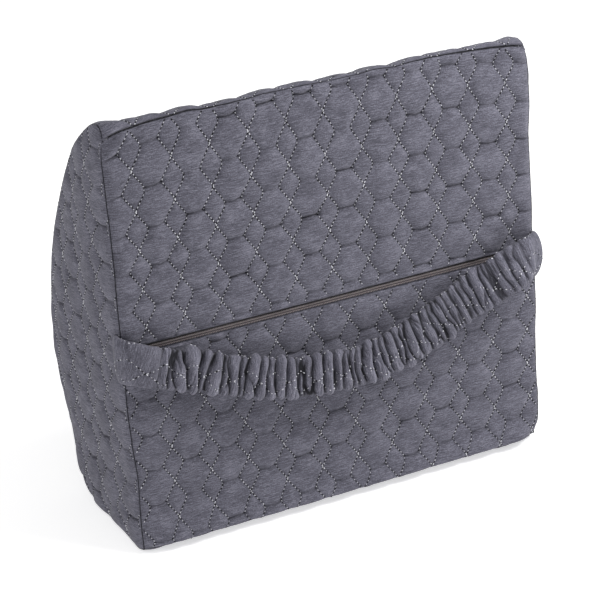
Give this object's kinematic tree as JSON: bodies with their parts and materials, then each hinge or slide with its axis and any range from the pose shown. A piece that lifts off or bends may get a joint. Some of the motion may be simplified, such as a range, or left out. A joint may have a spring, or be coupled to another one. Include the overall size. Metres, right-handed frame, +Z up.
{
  "type": "lumbar support cushion",
  "caption": "Foam back-support cushion with a flat back and bellied front, in a quilted, zipped knit cover with a gathered elastic strap to hold it on a chair.",
  "frame": {"origin": "on the floor under the middle of the whole object's box, with the cushion standing on its flat base", "axes": "+X along the cushion's width to the right as seen from its flat back panel, +Y from the flat back panel towards the belly, +Z up; the back panel leans back 8 degrees from vertical"},
  "size_m": [0.349, 0.1548, 0.3241],
  "materials": {
    "quilted_knit": "heathered grey-blue quilted jersey knit, matte",
    "polyester_wadding": "soft white fibre wadding",
    "backing_scrim": "thin non-woven scrim",
    "memory_foam": "open-cell polyurethane foam, matte",
    "zipper_nylon": "taupe dyed nylon coil and woven tape",
    "slider_metal": "die-cast slider, satin lacquer in the zipper's taupe",
    "woven_elastic": "white woven elastic webbing"
  },
  "bodies": {
    "cushion": {"foam_core": "memory_foam", "front_panel_knit": "quilted_knit", "front_panel_wadding": "polyester_wadding", "front_panel_backing": "backing_scrim", "back_panel_upper_knit": "quilted_knit", "back_panel_upper_wadding": "polyester_wadding", "back_panel_upper_backing": "backing_scrim", "back_panel_lower_knit": "quilted_knit", "back_panel_lower_wadding": "polyester_wadding", "back_panel_lower_backing": "backing_scrim", "end_panel_left_knit": "quilted_knit", "end_panel_left_wadding": "polyester_wadding", "end_panel_left_backing": "backing_scrim", "end_panel_right_knit": "quilted_knit", "end_panel_right_wadding": "polyester_wadding", "end_panel_right_backing": "backing_scrim", "zipper_tape_upper": "zipper_nylon", "zipper_tape_lower": "zipper_nylon", "zipper_coil_upper": "zipper_nylon", "zipper_coil_lower": "zipper_nylon", "strap_sleeve_end_left": "quilted_knit", "strap_elastic_end_left": "woven_elastic", "strap_sleeve_end_right": "quilted_knit", "strap_elastic_end_right": "woven_elastic"},
    "zipper_slider": {"zipper_slider": "slider_metal"},
    "zipper_pull": {"zipper_pull_tab": "slider_metal"},
    "strap_loop": {"strap_sleeve": "quilted_knit", "strap_elastic": "woven_elastic"}
  },
  "joints": [
    {"name": "zipper_travel", "type": "slide", "parent": "cushion", "child": "zipper_slider", "axis": [-1, 0, 0], "range_m": [0, 0.3]},
    {"name": "pull_tab_flip", "type": "hinge", "parent": "zipper_slider", "child": "zipper_pull", "pos_m": [0.15, -0.04812, 0.1583], "axis": [0, -0.1392, -0.9903], "range_deg": [0, 180]},
    {"name": "strap_swing", "type": "hinge", "parent": "cushion", "child": "strap_loop", "pos_m": [0, -0.05377, 0.15758], "axis": [-1, 0, 0], "range_deg": [0, 155]}
  ]
}
